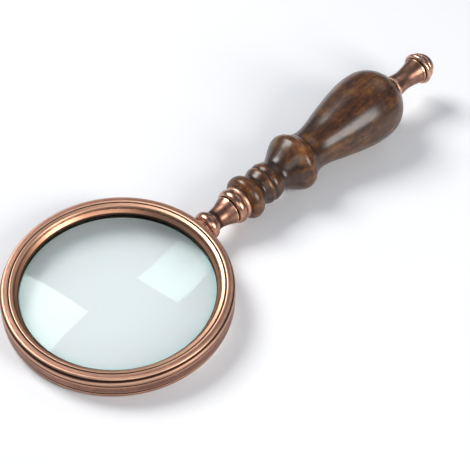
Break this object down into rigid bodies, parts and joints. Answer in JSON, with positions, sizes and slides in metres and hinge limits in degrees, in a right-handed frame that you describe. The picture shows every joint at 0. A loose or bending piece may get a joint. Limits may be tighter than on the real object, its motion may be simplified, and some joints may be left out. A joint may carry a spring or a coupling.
{
  "type": "hand magnifying glass",
  "caption": "Round hand magnifying glass: grooved copper-coloured frame with a screwed-in lens ring, flared metal neck, turned dark wooden handle with a bulb, and a metal end finial.",
  "frame": {"origin": "centre of the lens, on the optical axis and on the handle's axis, halfway between the lens's two rims", "axes": "+Z along the optical axis, out of the side with the screwed-in retaining ring; +Y from the lens along the handle to the finial; +X completes the right-handed set. Lying on a table the glass rests on the frame's far edge and on the handle's bulb, about 3.2 degrees from this frame."},
  "size_m": [0.094, 0.2378, 0.0324],
  "materials": {
    "antique_copper": "antique copper plating over brass, satin, dark patina in the grooves",
    "dark_copper": "antique copper plating, heavily darkened",
    "lens_glass": "clear polished glass with a faint green edge",
    "black_rubber": "matt black",
    "black_fibre": "matt black fibre",
    "plain_steel": "threaded steel rod",
    "lacquered_wood": "dark walnut stain under gloss lacquer"
  },
  "bodies": {
    "frame": {"frame_ring": "antique_copper", "lens": "lens_glass", "seat_gasket": "black_rubber"},
    "slip": {"slip_ring": "black_fibre"},
    "retainer": {"retaining_ring": "antique_copper"},
    "collar": {"collar": "antique_copper"},
    "handle": {"neck": "antique_copper", "neck_stud": "plain_steel", "ferrule_ring": "dark_copper", "wooden_handle": "lacquered_wood", "tie_rod": "plain_steel"},
    "washer": {"finial_washer": "antique_copper"},
    "finial": {"finial": "antique_copper"}
  },
  "joints": [
    {"name": "retainer_travel", "type": "slide", "parent": "frame", "child": "slip", "axis": [0, 0, 1], "range_m": [0, 0.00337]},
    {"name": "retainer_turn", "type": "hinge", "parent": "slip", "child": "retainer", "pos_m": [0, 0, 0], "axis": [0, 0, 1], "range_deg": [0, 1620]},
    {"name": "handle_travel", "type": "slide", "parent": "frame", "child": "collar", "axis": [0, 1, 0], "range_m": [0, 0.0036]},
    {"name": "handle_turn", "type": "hinge", "parent": "collar", "child": "handle", "pos_m": [0, 0, 0], "axis": [0, 1, 0], "range_deg": [0, 1620]},
    {"name": "finial_travel", "type": "slide", "parent": "handle", "child": "washer", "axis": [0, 1, 0], "range_m": [0, 0.0077]},
    {"name": "finial_turn", "type": "hinge", "parent": "washer", "child": "finial", "pos_m": [0, 0, 0], "axis": [0, 1, 0], "range_deg": [0, 3960]}
  ],
  "couplings": [
    {"joint": "retainer_turn", "follows": "retainer_travel", "rad_per_m": 8377.6},
    {"joint": "handle_turn", "follows": "handle_travel", "rad_per_m": 7854},
    {"joint": "finial_turn", "follows": "finial_travel", "rad_per_m": 8976}
  ]
}
